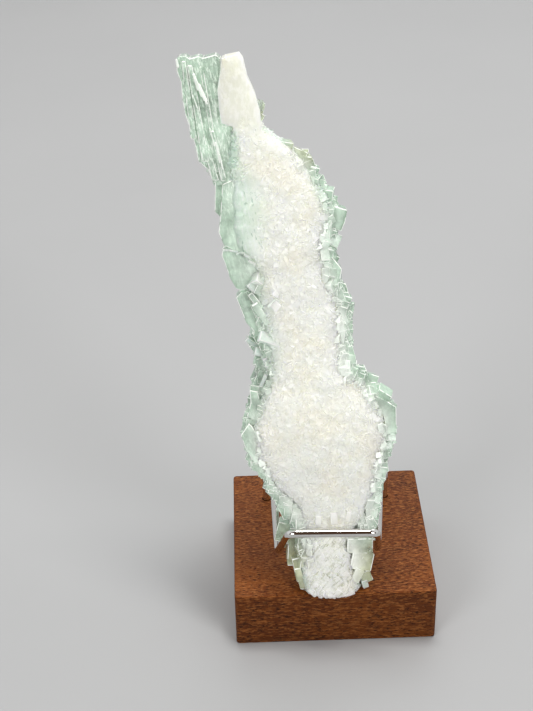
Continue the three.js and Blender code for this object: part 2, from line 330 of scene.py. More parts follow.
# Long thin prisms side by side in the broken green prism: front, back, x and height of the middle, width,
# length and lean to the left in degrees.
BLADES = [
    (-5.4, 5.4, -43.2, 167.8, 1.9, 24, 5),
    (-5.7, 5.3, -40.6, 163.6, 2.3, 30, 7),
    (-5.2, 5.4, -36.9, 161.6, 1.6, 33, 7),
    (-5.5, 5.2, -37.8, 151, 2.2, 17, 13),
    (-5.9, 5.3, -34.8, 150.4, 1.8, 16, 11),
]
# White streaks grown in its front, painted white as glare by the clear finish, in the same way.
GLARE_STREAKS = [
    (-6.5, -4.0, -40.6, 173.4, 1.2, 5.6, 16),
    (-6.7, -4.0, -39.9, 171.8, 1.1, 6.4, 20),
    (-6.4, -4.0, -38.9, 170.2, 1.3, 5.8, 21),
    (-6.6, -4.0, -38.2, 168.2, 0.7, 3.6, 24),
    (-6.3, -4.2, -41.2, 167.4, 0.5, 4.6, 17),
    (-6.3, -4.2, -36.4, 156.4, 0.5, 6.0, 12),
    (-6.2, -4.4, -34.9, 151.6, 0.7, 7.0, 11),
    (-6.4, -4.4, -33.9, 148.6, 0.5, 5.0, 9),
    (-6.3, -4.0, -46.2, 179.2, 0.9, 2.8, 8),
]


# ------------------------------------------------------------------ shader maths

def maths(operation, swapped=False):
    """A method that puts a signal through one Math node."""
    def method(self, other):
        first, second = (other, self) if swapped else (self, other)
        return self.finish.node("Math", {"operation": operation}, {0: first, 1: second})
    return method


class Signal:
    """One output of a finish's nodes. Arithmetic on signals adds Math nodes."""

    def __init__(self, finish, socket):
        self.finish = finish
        self.socket = socket

    __add__ = maths("ADD")
    __radd__ = maths("ADD", swapped=True)
    __sub__ = maths("SUBTRACT")
    __rsub__ = maths("SUBTRACT", swapped=True)
    __mul__ = maths("MULTIPLY")
    __rmul__ = maths("MULTIPLY", swapped=True)

    def clamped(self, low=0.0):
        return self.finish.node("Clamp", {}, {0: self, 1: low})


class Finish:
    """A material being built: a Principled shader and the nodes that feed it."""

    def __init__(self, name, **constants):
        self.material = bpy.data.materials.new(name)
        self.material.use_nodes = True
        self.tree = self.material.node_tree
        self.tree.nodes.clear()
        self.output = self.tree.nodes.new("ShaderNodeOutputMaterial")
        self.shader = self.tree.nodes.new("ShaderNodeBsdfPrincipled")
        self.tree.links.new(self.shader.outputs[0], self.output.inputs["Surface"])
        self.surface(**constants)

    def node(self, kind, settings=None, inputs=None, out=0):
        node = self.tree.nodes.new("ShaderNode" + kind)
        for name, value in (settings or {}).items():
            if name == "ramp":
                self._stops(node.color_ramp, value)
            else:
                setattr(node, name, value)
        for name, value in (inputs or {}).items():
            self.feed(node.inputs[name], value)
        return Signal(self, node.outputs[out])

    def _stops(self, ramp, stops):
        while len(ramp.elements) < len(stops):
            ramp.elements.new(0.5)
        for element, (position, colour) in zip(ramp.elements, stops):
            element.position = position
            element.color = colour

    def feed(self, socket, value):
        if isinstance(value, Signal):
            self.tree.links.new(value.socket, socket)
        else:
            socket.default_value = value

    def surface(self, **signals):
        for socket, value in signals.items():
            self.feed(self.shader.inputs[socket.replace("_", " ")], value)
        return self.material

    def blend(self, factor, colour, roughness, relief):
        """Mixes a second, opaque shader over the first by a factor that changes over the surface."""
        inputs = {"Base Color": colour, "Roughness": roughness, "Normal": relief}
        cover = self.node("BsdfPrincipled", {}, inputs)
        first = Signal(self, self.shader.outputs[0])
        both = self.node("MixShader", {}, {0: factor, 1: first, 2: cover})
        self.feed(self.output.inputs["Surface"], both)

    def attributes(self, *names):
        return [self.node("Attribute", {"attribute_name": name}, {}, "Fac") for name in names]

    def place(self, scale=(1, 1, 1), shift=(0, 0, 0)):
        """Object coordinates, moved and then stretched."""
        here = self.node("TexCoord", {}, {}, "Object")
        moved = self.node("VectorMath", {"operation": "ADD"}, {0: here, 1: shift})
        return self.node("VectorMath", {"operation": "MULTIPLY"}, {0: moved, 1: scale})

    def tilted(self, scale, lean):
        """Object coordinates, turned about Y by some degrees and then stretched."""
        turn = {"Vector": self.place(), "Axis": (0, 1, 0), "Angle": math.radians(lean)}
        turned = self.node("VectorRotate", {"rotation_type": "AXIS_ANGLE"}, turn)
        return self.node("VectorMath", {"operation": "MULTIPLY"}, {0: turned, 1: scale})

    def noise(self, scale, detail=3.0, roughness=0.5, where=None):
        inputs = {"Scale": scale, "Detail": detail, "Roughness": roughness, "Vector": where or self.place()}
        return self.node("TexNoise", {}, inputs)

    def ramp(self, factor, stops):
        return self.node("ValToRGB", {"ramp": stops}, {"Fac": factor})

    def mix(self, factor, first, second):
        return self.node("Mix", {"data_type": "RGBA"}, {0: factor, 6: first, 7: second}, 2)

    def band(self, value, low, high):
        """0 below low, 1 above high, smooth between."""
        settings = {"interpolation_type": "SMOOTHSTEP"}
        return self.node("MapRange", settings, {0: value, 1: low, 2: high})

    def bump(self, height, strength, distance):
        inputs = {"Strength": strength, "Distance": distance, "Height": height}
        return self.node("Bump", {}, inputs)


# ------------------------------------------------------------------ finishes

HALITE_IOR = 1.544


def linear(red, green, blue):
    """A colour given as 0 to 255 display values."""
    def channel(value):
        value /= 255
        return value / 12.92 if value <= 0.04045 else ((value + 0.055) / 1.055) ** 2.4
    return (channel(red), channel(green), channel(blue), 1.0)


def hardwood_finish():
    """Reddish brown hardwood: growth rings run along X, with short dark pores, and painted shade on every
    face but the top.
    """
    wood = Finish("oiled_hardwood", Specular_IOR_Level=0.15)
    heart = wood.place((0, 1, 1), (0, -0.03, 0.055))
    radius = wood.node("VectorMath", {"operation": "LENGTH"}, {0: heart}, "Value")
    wander = wood.noise(1.0, 3, 0.55, wood.place((9, 60, 60)))
    rings = wood.node("Math", {"operation": "SINE"}, {0: radius * 1500 + wander * 16})
    streak = wood.noise(1.0, 5, 0.65, wood.place((40, 900, 900)))
    cloud = wood.noise(1.0, 3, 0.5, wood.place((45, 70, 70)))
    tone = (rings * 0.05 + streak * 0.6 + cloud * 0.85 - 0.25).clamped()
    colour = wood.ramp(tone, [
        (0.1, linear(70, 31, 4)),
        (0.4, linear(99, 48, 10)),
        (0.65, linear(119, 62, 16)),
        (0.95, linear(145, 83, 28)),
    ])
    pores = wood.band(wood.noise(1.0, 2, 0.6, wood.place((700, 1900, 1900))), 0.52, 0.64)
    fibre = wood.noise(1.0, 3, 0.7, wood.place((520, 2100, 2100)))
    height = wood.node("SeparateXYZ", {}, {0: wood.place()}, "Z")
    top_face = wood.band(height, BLOCK_HIGH.z - 0.0006, BLOCK_HIGH.z)
    # Painted shade: every face but the top is mixed towards dark brown, so the sides look darker than the
    # top, as if lit from above.
    painted_side_shade = wood.mix(0.42 - top_face * 0.38, colour, linear(45, 20, 5))
    dark = wood.mix(pores * 0.8, painted_side_shade, linear(34, 15, 6))
    grainy = wood.mix(wood.band(fibre, 0.48, 0.64) * (0.4 + top_face * 0.2), dark, linear(174, 111, 58))
    relief = wood.bump(fibre * 0.35 - pores, 0.5, 0.00012)
    return wood.surface(Base_Color=grainy, Roughness=0.5 + fibre * 0.2 + pores * 0.15, Normal=relief)


def chrome_finish():
    """Bright plate with a little waviness and dust."""
    chrome = Finish("chrome_wire", Metallic=1.0)
    dust = chrome.noise(900, 4, 0.65)
    colour = chrome.mix(dust, linear(208, 207, 204), linear(236, 235, 232))
    wave = chrome.bump(chrome.noise(260, 2) + chrome.noise(1900, 2) * 0.14, 0.14, 0.0002)
    rough = 0.05 + chrome.band(dust, 0.5, 0.8) * 0.12
    return chrome.surface(Base_Color=colour, Roughness=rough, Normal=wave)


def milky_finish():
    """Milky halite: white, warm and fibrous in the prism, green where it thins towards the edges, with a
    painted highlight on its crystals' chamfers.
    """
    milk = Finish("milky_halite", Subsurface_Weight=1.0, Subsurface_Scale=0.005,
                  Subsurface_Radius=(1.0, 1.0, 0.9), IOR=HALITE_IOR)
    edge, prism, slab, foot, rim, beige = milk.attributes("edge", "prism", "slab", "foot", "rim", "beige")
    cloud = milk.noise(70, 4, 0.55)
    grain = milk.noise(1100, 3, 0.6)
    warm = milk.mix(milk.band(cloud, 0.4, 0.65), linear(243, 247, 240), linear(244, 243, 232))
    green = milk.band(edge + (cloud - 0.5) * 0.6, 0.1, 0.9)
    body = milk.mix(green, warm, linear(202, 225, 209))
    sugar = milk.mix(milk.band(grain, 0.5, 0.72) * 0.35, body, linear(253, 254, 250))
    fissure = milk.noise(1.0, 3, 0.6, milk.tilted((900, 900, 40), 12))
    cracked = milk.mix(milk.band(fissure, 0.58, 0.66) * slab * 0.7, sugar, linear(150, 178, 160))
    slabby = milk.mix(milk.band(fissure, 0.48, 0.36) * slab * 0.6, cracked, linear(236, 244, 240))
    strand = milk.noise(1.0, 4, 0.65, milk.tilted((1100, 1100, 130), -32))
    shaded = milk.mix(milk.band(strand, 0.5, 0.64) * foot * 0.8, slabby, linear(196, 199, 180))
    fibre = milk.noise(1.0, 4, 0.7, milk.place((700, 700, 240)))
    blotch = milk.band(milk.noise(1.0, 3, 0.6, milk.place((260, 260, 90))), 0.36, 0.6)
    tint = milk.mix((beige * (blotch * 0.6 + 0.4)).clamped(), linear(233, 235, 224), linear(203, 197, 173))
    broken = milk.mix(milk.band(fibre, 0.45, 0.62) * 0.6, tint, linear(247, 248, 242))
    # Painted highlight: the crystals' chamfers (rim attribute) are mixed almost to pure white.
    colour = milk.mix(rim * 0.9, milk.mix(prism, shaded, broken), linear(253, 254, 250))
    crumbs = {"Vector": milk.place(), "Scale": 620}
    facets = milk.node("TexVoronoi", {"distance": "CHEBYCHEV"}, crumbs)
    rugged = fibre * prism * 3 + facets * prism * 2 + strand * foot * 3
    relief = milk.bump(milk.noise(1500, 3, 0.6) + rugged, 0.4, 0.00022)
    rough = 0.15 + milk.noise(500, 2) * 0.3 + prism * 0.1
    return milk.surface(Base_Color=colour, Roughness=rough, Normal=relief)


def clear_finish():
    """Clear halite, faintly green in its depth, frosted in patches, painted white along its sharp edges as a
    highlight and painted white as glare on its white streaks.
    """
    clear = Finish("clear_green_halite", Transmission_Weight=1.0, IOR=HALITE_IOR)
    depth = clear.node("VolumeAbsorption", {}, {"Color": (0.42, 0.88, 0.52, 1), "Density": 20.0})
    clear.feed(clear.output.inputs["Volume"], depth)
    rim, cloudy, olive = clear.attributes("rim", "cloudy", "olive")
    # white: painted glare on the streaks in front of the green prism.
    glassy, white, fibrous = clear.attributes("glassy", "white", "fibrous")
    frost = clear.band(clear.noise(260, 4, 0.7), 0.36, 0.68)
    strands = clear.noise(1.0, 4, 0.75, clear.tilted((1400, 1400, 50), 9))
    streak = clear.band(strands, 0.5, 0.6) * fibrous
    # Painted highlight: the chamfered edges (rim attribute), broken up by noise, turn white in the cover
    # below.
    edge = rim * clear.band(clear.noise(420, 2), 0.36, 0.52)
    rough = 0.04 + frost * 0.2
    relief = clear.bump(clear.noise(700, 3, 0.6) + streak * 0.5, 0.25, 0.0004)
    tint = clear.mix(olive, linear(219, 247, 225), linear(212, 219, 180))
    # The cover turns white where the crust is cloudy or fibrous, as a painted highlight on the edges, and as
    # painted glare on the white streaks.
    cover = clear.mix((cloudy * 0.8 + streak * 0.5 + edge + white).clamped(), tint, linear(250, 254, 249))
    cloud = clear.noise(110, 3, 0.5)
    milky = cloud * 1.1 - 0.14 + frost * 0.2 + streak * 0.36 + edge * 0.6 + cloudy * 0.3 + white
    clear.blend((milky - olive * 0.02 - glassy * 0.18).clamped(0.14), cover, 0.2, relief)
    colour = clear.mix(clear.noise(60, 3), linear(252, 255, 252), linear(244, 252, 246))
    return clear.surface(Base_Color=colour, Roughness=rough, Normal=relief)


def veil_finish():
    """Wispy white sheets and fibres caught inside the clear crystals."""
    veil = Finish("white_veils", Roughness=0.5, IOR=1.1)
    wisp = veil.band(veil.noise(1.0, 4, 0.65, veil.place((700, 700, 160))), 0.38, 0.62)
    colour = veil.mix(veil.noise(90, 2), linear(240, 248, 242), linear(252, 253, 250))
    return veil.surface(Base_Color=colour, Alpha=0.15 + wisp * 0.6)


def floor_finish():
    """Plain pale floor."""
    floor = Finish("pale_floor", Specular_IOR_Level=0.2)
    tone = floor.mix(floor.noise(6, 3), linear(166, 167, 168), linear(172, 173, 174))
    return floor.surface(Base_Color=tone, Roughness=0.7)


# ------------------------------------------------------------------ mesh helpers

def piece(name, mesh, material, node):
    """A finished piece: in the scene, riding on the stand and standing for its CAD node."""
    mesh.name = name
    mesh.materials.clear()
    mesh.materials.append(material)
    thing = new_object(name, mesh)
    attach(thing, ROOT)
    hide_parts(node)


def baked(thing):
    """The plain mesh that an object's modifiers give, with the object taken away."""
    bpy.context.view_layer.update()
    graph = bpy.context.evaluated_depsgraph_get()
    mesh = bpy.data.meshes.new_from_object(thing.evaluated_get(graph), depsgraph=graph)
    bpy.data.objects.remove(thing)
    return mesh


def new_object(name, data):
    thing = bpy.data.objects.new(name, data)
    bpy.context.scene.collection.objects.link(thing)
    return thing


def mesh_of(shape, name):
    """The mesh of a shape that is done with."""
    mesh = bpy.data.meshes.new(name)
    shape.to_mesh(mesh)
    shape.free()
    return mesh


def cube(size=1.0):
    shape = bmesh.new()
    bmesh.ops.create_cube(shape, size=size)
    return shape


def smooth_below(mesh, degrees):
    """Smooth shading, with the edges that turn by more than some degrees kept sharp."""
    mesh.polygons.foreach_set("use_smooth", [True] * len(mesh.polygons))
    mesh.set_sharp_from_angle(angle=math.radians(degrees))


def corner_places(mesh):
    """The mesh's corners as rows of x, y and height."""
    spots = np.empty(len(mesh.vertices) * 3, dtype=np.float32)
    mesh.vertices.foreach_get("co", spots)
    return spots.reshape(-1, 3)


def mark(mesh, **fields):
    """Keeps a value for each of the mesh's corners under each name."""
    for name, values in fields.items():
        field = mesh.attributes.new(name, "FLOAT", "POINT")
        field.data.foreach_set("value", np.ascontiguousarray(values, dtype=np.float32))


def cut_edges(shape, edges, width, segments=1):
    """Rounds some edges of a shape, or cuts them off with one segment, and returns the new faces."""
    return bmesh.ops.bevel(shape, geom=edges, offset=width, segments=segments, profile=0.5,
                           affect="EDGES")["faces"]


def skin(shape, rings):
    """Faces from each ring of corners to the next, and one over each end."""
    for low, high in zip(rings, rings[1:]):
        for k in range(len(low)):
            after = (k + 1) % len(low)
            shape.faces.new((low[k], low[after], high[after], high[k]))
    shape.faces.new(reversed(rings[0]))
    shape.faces.new(rings[-1])


def at(table, heights):
    """A table's columns at some heights, on straight lines between its rows."""
    return [np.interp(heights, table[:, 0], column) for column in table.T[1:]]


def smooth_columns(rows, heights):
    """The rows' columns at any heights, on a smooth curve through the rows (cubic Hermite)."""
    keys = rows[:, 0]
    result = []
    for column in rows.T[1:]:
        slope = np.gradient(column, keys)
        index = np.clip(np.searchsorted(keys, heights) - 1, 0, len(keys) - 2)
        span = keys[index + 1] - keys[index]
        t = np.clip((heights - keys[index]) / span, 0, 1)
        a = 2 * t**3 - 3 * t**2 + 1
        b = t**3 - 2 * t**2 + t
        c = -2 * t**3 + 3 * t**2
        d = t**3 - t**2
        result.append(a * column[index] + b * span * slope[index]
                      + c * column[index + 1] + d * span * slope[index + 1])
    return result


# ------------------------------------------------------------------ wood block

def wood_block():
    size = BLOCK_HIGH - BLOCK_LOW
    centre = (BLOCK_HIGH + BLOCK_LOW) / 2
    shape = cube()
    shape.transform(Matrix.Translation(centre) @ Matrix.Diagonal((*size, 1)))
    upright = [e for e in shape.edges if abs((e.verts[0].co - e.verts[1].co).normalized().z) > 0.9]
    cut_edges(shape, upright, BLOCK_CORNER_RADIUS * MM, 4)
    level = [e for e in shape.edges if abs(e.verts[0].co.z - e.verts[1].co.z) < 1e-6]
    cut_edges(shape, level, BLOCK_EASE * MM, 3)
    block = new_object("block", mesh_of(shape, "block"))
    bores = []
    for x, y, _, _ in (WIRE_CORNERS[0], WIRE_CORNERS[-1]):
        drill = bmesh.new()
        top = Matrix.Translation((x * MM, y * MM, BLOCK_HIGH.z))
        bmesh.ops.create_cone(drill, cap_ends=True, segments=32, radius1=BORE_RADIUS * MM,
                              radius2=BORE_RADIUS * MM, depth=2 * BORE_DEPTH * MM, matrix=top)
        bore = new_object("bore", mesh_of(drill, "bore"))
        cut = block.modifiers.new("bore", "BOOLEAN")
        cut.operation = "DIFFERENCE"
        cut.solver = "EXACT"
        cut.object = bore
        bores.append(bore)
    mesh = baked(block)
    clear_away(*bores)
    smooth_below(mesh, 50)
    piece("hardwood_block", mesh, hardwood_finish(), "wood_block")


# ------------------------------------------------------------------ wire easel

def bent_path(corners, spacing=0.6):
    """Points along straight runs joined by round bends, close together in the bends."""
    points = [Vector(corner[:3]) for corner in corners]
    path = [points[0]]
    for before, corner, after, (_, _, _, reach) in zip(points, points[1:], points[2:], corners[1:-1]):
        start = corner + (before - corner).normalized() * reach
        end = corner + (after - corner).normalized() * reach
        steps = max(6, int(2 * reach / spacing))
        for i in range(steps + 1):
            t = i / steps
            path.append(start * (1 - t) ** 2 + corner * 2 * t * (1 - t) + end * t**2)
    path.append(points[-1])
    return path


def tube(path, radius, sides):
    """A closed round bar along a path, its sections turned as little as they can be."""
    shape = bmesh.new()
    rings = []
    side = Vector((1, 0, 0))
    for i, point in enumerate(path):
        ahead = (path[min(i + 1, len(path) - 1)] - path[max(i - 1, 0)]).normalized()
        side = (side - ahead * side.dot(ahead)).normalized()
        up = ahead.cross(side)
        turns = [2 * math.pi * k / sides for k in range(sides)]
        rings.append([shape.verts.new((point + (side * math.cos(a) + up * math.sin(a)) * radius) * MM)
                      for a in turns])
    skin(shape, rings)
    return mesh_of(shape, "tube")


def wire_easel():
    mesh = tube(bent_path(WIRE_CORNERS), WIRE_RADIUS, WIRE_SIDES)
    smooth_below(mesh, 60)
    piece("chrome_wire", mesh, chrome_finish(), "wire_easel")


# ------------------------------------------------------------------ geometry node helpers

def new_tree(name, **sockets):
    """A tree and its inputs: geometry first, then each named input with its kind and first value."""
    tree = bpy.data.node_groups.new(name, "GeometryNodeTree")
    tree.interface.new_socket("Geometry", in_out="INPUT", socket_type="NodeSocketGeometry")
    for name, (kind, value) in sockets.items():
        socket = tree.interface.new_socket(name, in_out="INPUT", socket_type="NodeSocket" + kind)
        if value is not None:
            socket.default_value = value
    tree.interface.new_socket("Geometry", in_out="OUTPUT", socket_type="NodeSocketGeometry")
    return tree, add_node(tree, "NodeGroupInput").outputs


def add_node(tree, kind, inputs=None, **settings):
    """A node with its settings, then its sockets' values or links."""
    node = tree.nodes.new(kind)
    for name, value in settings.items():
        setattr(node, name, value)
    for name, value in (inputs or {}).items():
        if isinstance(value, bpy.types.NodeSocket):
            tree.links.new(value, node.inputs[name])
        else:
            node.inputs[name].default_value = value
    return node


def object_shape(tree, thing):
    return add_node(tree, "GeometryNodeObjectInfo", {"Object": thing}).outputs["Geometry"]


def collection_shapes(tree, collection):
    return add_node(tree, "GeometryNodeCollectionInfo", {
        "Collection": collection, "Separate Children": True,
    }).outputs[0]


def kept_value(tree, name, kind):
    """What is kept under a name on each point or corner."""
    return add_node(tree, "GeometryNodeInputNamedAttribute", {"Name": name}, data_type=kind).outputs[0]


def sized_copies(tree, points, shape, scale):
    """A copy of the shape on every point, by the size and turn kept on the point."""
    turned = add_node(tree, "FunctionNodeEulerToRotation", {0: kept_value(tree, "box_turn", "FLOAT_VECTOR")})
    scaled = add_node(tree, "ShaderNodeVectorMath", {
        0: kept_value(tree, "box_size", "FLOAT_VECTOR"), "Scale": scale,
    }, operation="SCALE")
    return add_node(tree, "GeometryNodeInstanceOnPoints", {
        "Points": points, "Instance": shape, "Rotation": turned.outputs[0], "Scale": scaled.outputs[0],
    }).outputs[0]


def end_tree(tree, source, geometry):
    """Makes the copies real and gives them the tree's finish."""
    real = add_node(tree, "GeometryNodeRealizeInstances", {"Geometry": geometry}).outputs[0]
    paint = add_node(tree, "GeometryNodeSetMaterial", {"Geometry": real, "Material": source["Finish"]})
    add_node(tree, "NodeGroupOutput", {0: paint.outputs[0]})
    return tree


def closed_skin(tree, source, *parts):
    """Joins the parts in one closed skin, keeps it out of the air over the block and ends the tree."""
    union = add_node(tree, "GeometryNodeMeshBoolean", operation="UNION", solver="MANIFOLD")
    for part in parts:
        tree.links.new(part, union.inputs["Mesh 2"])
    cut = add_node(tree, "GeometryNodeMeshBoolean", {
        "Mesh 1": union.outputs[0], "Mesh 2": object_shape(tree, source["Air"]),
    }, operation="DIFFERENCE", solver="MANIFOLD")
    return end_tree(tree, source, cut.outputs[0])


def run_tree(mesh, tree, **values):
    """The plain mesh that a tree makes of a mesh, with its named inputs set."""
    thing = new_object(tree.name, mesh)
    modifier = thing.modifiers.new(tree.name, "NODES")
    modifier.node_group = tree
    names = {item.name: item.identifier for item in tree.interface.items_tree if item.in_out == "INPUT"}
    for name, value in values.items():
        modifier[names[name]] = value
    return baked(thing)


# ------------------------------------------------------------------ milky core

def core_mesh(around=96, along=240):
    """The milky body in the plate's axes and millimetres: smooth sections, slightly lumpy."""
    heights = np.linspace(CORE[0, 0], CORE[-1, 0], along)
    left, right, front, back, roundness = smooth_columns(CORE, heights)
    close = np.clip((CORE[-1, 0] - heights) / 3, 0.02, 1) ** 0.5
    turn = np.linspace(0, 2 * np.pi, around, endpoint=False)
    waves = np.cos(turn), np.sin(turn)
    shape = bmesh.new()
    rings = []
    for k, height in enumerate(heights):
        across, deep = (np.sign(wave) * np.abs(wave) ** roundness[k] for wave in waves)
        ring = []
        for i in range(around):
            x = (left[k] + right[k]) / 2 + across[i] * (right[k] - left[k]) / 2 * close[k]
            y = (deep[i] * back[k] if deep[i] > 0 else -deep[i] * front[k]) * close[k]
            here = Vector((x, y, height))
            lump = noise.noise(here * 0.11) * 0.6 + noise.noise(here * 0.35) * 0.35
            here += Vector((across[i], deep[i], 0)) * lump * close[k]
            ring.append(shape.verts.new(here))
        rings.append(ring)
    skin(shape, rings)
    bmesh.ops.recalc_face_normals(shape, faces=shape.faces)
    mesh = mesh_of(shape, "core")
    mark(mesh, sugary=1 - on_slab(corner_places(mesh)))
    return mesh


def core_front(x, height):
    """How deep the core's front face is at a place on the plate."""
    left, right, front, _, roundness = at(CORE, height)
    off_middle = min(abs(x - (left + right) / 2) / ((right - left) / 2), 1)
    return front * (1 - off_middle ** (2 / roundness)) ** (roundness / 2)


def on_slab(spots):
    """1 on the front of the smooth pale slab, 0 elsewhere, soft at its right edge."""
    right, low, high = PALE_SLAB
    x, y, height = spots.T
    inside = np.clip((right - x) / 3 + 0.5, 0, 1) * np.clip(height - low, 0, 1)
    return inside * np.clip(high - height, 0, 1) * (y < 1)


def prism_object(name, front, back, outline, ease):
    """A prism cut straight through the plate, its edges eased."""
    shape = bmesh.new()
    corners = [shape.verts.new((x, front, z)) for x, z in outline]
    face = shape.faces.new(corners)
    grown = bmesh.ops.extrude_face_region(shape, geom=[face])
    moved = [item for item in grown["geom"] if isinstance(item, bmesh.types.BMVert)]
    bmesh.ops.translate(shape, verts=moved, vec=(0, back - front, 0))
    bmesh.ops.recalc_face_normals(shape, faces=shape.faces)
    return new_object(name, chamfered(shape, name, ease))


def leaning(x, height, width, length, lean):
    """The outline of a long narrow face that leans to the left by some degrees, narrower at its top."""
    along = Vector((-math.sin(math.radians(lean)), math.cos(math.radians(lean)))) * length / 2
    middle, side = Vector((x, height)), Vector((width / 2, 0))
    tip = side * STREAK_TAPER
    return [middle - side - along, middle + side - along, middle + tip + along, middle - tip + along]


def prism_collection(name, prisms, ease):
    """One object for each prism, given as its front face, its back face and its outline."""
    together = bpy.data.collections.new(name)
    for prism in prisms:
        together.objects.link(prism_object(name, *prism, ease))
    return together


def clear_away(*things):
    """Takes scratch objects and collections of them out of the file."""
    for thing in things:
        if isinstance(thing, bpy.types.Collection):
            clear_away(*thing.objects)
            bpy.data.collections.remove(thing)
        else:
            bpy.data.objects.remove(thing)


def chamfered(shape, name, width):
    """The mesh of a shape with its edges cut off, and its cut faces marked 1 in the rim attribute, where the
    finishes paint a highlight.
    """
    rim = shape.faces.layers.float.new("rim")
    for face in cut_edges(shape, shape.edges[:], width):
        face[rim] = 1.0
    return mesh_of(shape, name)


def crystal_object(chamfer):
    """A unit cube with narrow chamfers, which every larger crystal is a copy of."""
    return new_object("crystal", chamfered(cube(), "crystal", chamfer))


def air_object():
    """What the foot may not enter, on the plate in millimetres: the block and a little air over it."""
    reach = 80
    shape = cube(reach)
    top = BLOCK_HIGH.z / MM + FOOT_GAP
    shape.transform(Matrix.Diagonal((1 / MM, 1 / MM, 1 / MM, 1)) @ PLATE.inverted()
                    @ IN_MM @ Matrix.Translation((0, 0, top - reach / 2)))
    return new_object("air", mesh_of(shape, "air"))


def sugar_tree():
    """Roughens a body with small turned cubes, half sunk in it, and joins all in one closed skin."""
    tree, source = new_tree(
        "sugar_grains", Prisms=("Collection", None), Grain=("Object", None), Crystal=("Object", None),
        Points=("Object", None), Air=("Object", None), Spacing=("Float", 1.0), Smallest=("Float", 1.0),
        Largest=("Float", 2.0), Sink=("Float", 0.3), Seed=("Int", 3), Finish=("Material", None))
    normal = add_node(tree, "GeometryNodeInputNormal").outputs[0]
    facing = add_node(tree, "ShaderNodeSeparateXYZ", {0: normal}).outputs["Y"]
    seen = add_node(tree, "FunctionNodeCompare", {0: facing, 1: SUGAR_FACING}, operation="LESS_THAN")
    rough = add_node(tree, "FunctionNodeCompare", {0: kept_value(tree, "sugary", "FLOAT"), 1: 0.5},
                     operation="GREATER_THAN")
    grown = add_node(tree, "FunctionNodeBooleanMath", {0: seen.outputs[0], 1: rough.outputs[0]},
                     operation="AND")
    points = add_node(tree, "GeometryNodeDistributePointsOnFaces", {
        "Mesh": source["Geometry"],
        "Selection": grown.outputs[0],
        "Distance Min": source["Spacing"],
        "Density Max": 4.0,
        "Seed": source["Seed"],
    }, distribute_method="POISSON")
    size = add_node(tree, "FunctionNodeRandomValue", {
        2: source["Smallest"], 3: source["Largest"], "Seed": source["Seed"],
    }).outputs[1]
    turn = add_node(tree, "FunctionNodeRandomValue", {
        "Min": (-0.6, -0.8, -0.6), "Max": (0.6, 0.8, 0.6), "Seed": source["Seed"],
    }, data_type="FLOAT_VECTOR").outputs[0]
    depth = add_node(tree, "ShaderNodeMath", {0: size, 1: source["Sink"]}, operation="MULTIPLY").outputs[0]
    inward = add_node(tree, "ShaderNodeMath", {0: depth, 1: -1.0}, operation="MULTIPLY").outputs[0]
    shift = add_node(tree, "ShaderNodeVectorMath", {0: points.outputs["Normal"], "Scale": inward},
                     operation="SCALE").outputs[0]
    sunk = add_node(tree, "GeometryNodeSetPosition", {
        "Geometry": points.outputs["Points"], "Offset": shift,
    }).outputs[0]
    turned = add_node(tree, "FunctionNodeEulerToRotation", {0: turn}).outputs[0]
    grains = add_node(tree, "GeometryNodeInstanceOnPoints", {
        "Points": sunk, "Instance": object_shape(tree, source["Grain"]), "Rotation": turned, "Scale": size,
    }).outputs[0]
    crystals = sized_copies(tree, object_shape(tree, source["Points"]),
                            object_shape(tree, source["Crystal"]), 1.0)
    prisms = collection_shapes(tree, source["Prisms"])
    return closed_skin(tree, source, grains, crystals, prisms, source["Geometry"])


def how_near_rim(x, height):
    """0 where the green of the rim ends, 1 at the plate's outer edge."""
    left, right, left_reach, right_reach = at(RIM, height)
    return np.clip(np.maximum(1 - (x - left) / left_reach, 1 - (right - x) / right_reach), 0, 1)


def above(value, start, reach, least=0):
    """Grows from least at the start to 1 at some reach above it."""
    return np.clip((value - start) / reach, least, 1)


def below(value, start, reach, least=0):
    """Grows from least at the start to 1 at some reach below it."""
    return np.clip((start - value) / reach, least, 1)


def mark_core(mesh):
    """Where the core is green, broken across, smooth, beige or fibrous."""
    spots = corner_places(mesh)
    x, _, height = spots.T
    patch = below(x, GREEN_PATCH[0], 4) * above(height, GREEN_PATCH[1], 5)
    middle, half_width, foot = BEIGE_STRIP
    mark(mesh,
         edge=np.maximum(how_near_rim(x, height), patch) * below(height, GREEN_BELOW, 2),
         prism=above(height, PRISM_FROM, 6),
         slab=on_slab(spots),
         beige=np.clip(1.5 - np.abs(x - middle) / half_width, 0, 1) * above(height, foot, 3),
         foot=below(height, FIBROUS_FOOT_BELOW, 4))


def milky_core(finish):
    grain = new_object("grain", mesh_of(cube(), "grain"))
    crystal = crystal_object(MILKY_CHAMFER)
    prisms = prism_collection("milky_prisms", MILKY_PRISMS, PRISM_EASE)
    points = new_object("milky_places", seed_points("milky_places", MILKY_CRYSTALS + foot_crystals()))
    air = air_object()
    mesh = run_tree(core_mesh(), sugar_tree(), Prisms=prisms, Grain=grain, Crystal=crystal, Points=points,
                    Air=air, Spacing=1.0, Smallest=0.9, Largest=1.8, Sink=0.3, Seed=3, Finish=finish)
    clear_away(grain, crystal, prisms, points, air)
    mark_core(mesh)
    mesh.transform(PLATE @ IN_MM)
    return mesh


# ------------------------------------------------------------------ clear crust

def wire_on_plate():
    """Points along the wire, in the plate's own axes and millimetres."""
    to_plate = PLATE.inverted()
    return np.array([to_plate @ (point * MM) / MM for point in bent_path(WIRE_CORNERS)])


def crystals_in_row(side, height):
    """How many small crystals an edge gets at a height."""
    if side == LEFT:
        bare, smooth_from = PALE_SLAB[1] < height < PALE_SLAB[2], LEFT_SMOOTH_FROM
    else:
        bare, smooth_from = height > RIGHT_END, RIGHT_SMOOTH_FROM
    if bare:
        return 0
    return FEW if height > smooth_from else MANY


